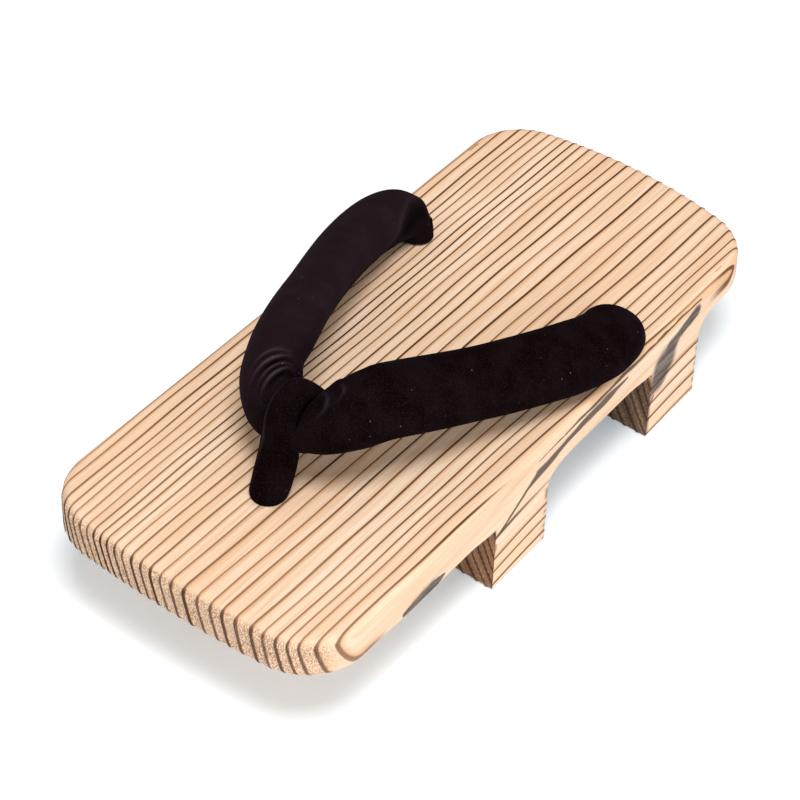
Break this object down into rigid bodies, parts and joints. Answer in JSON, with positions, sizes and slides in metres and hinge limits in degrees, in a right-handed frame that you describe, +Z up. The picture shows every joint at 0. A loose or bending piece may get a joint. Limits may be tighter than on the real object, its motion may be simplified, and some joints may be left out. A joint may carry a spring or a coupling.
{
  "type": "geta sandal",
  "caption": "Wooden geta sandal: a flat cedar deck on two square teeth, with a padded velvet V strap and a toe post.",
  "frame": {"origin": "on the floor, under the middle of the sandal", "axes": "+Y towards the toe, +X towards the wearer's right, +Z up"},
  "size_m": [0.114, 0.25, 0.0802],
  "materials": {
    "cedar": "dry brushed cedar with dark scorched growth lines",
    "velvet": "black velvet with a soft sheen"
  },
  "bodies": {
    "root": {"platform": "cedar", "strap": "velvet", "toe_post": "velvet"}
  },
  "joints": []
}
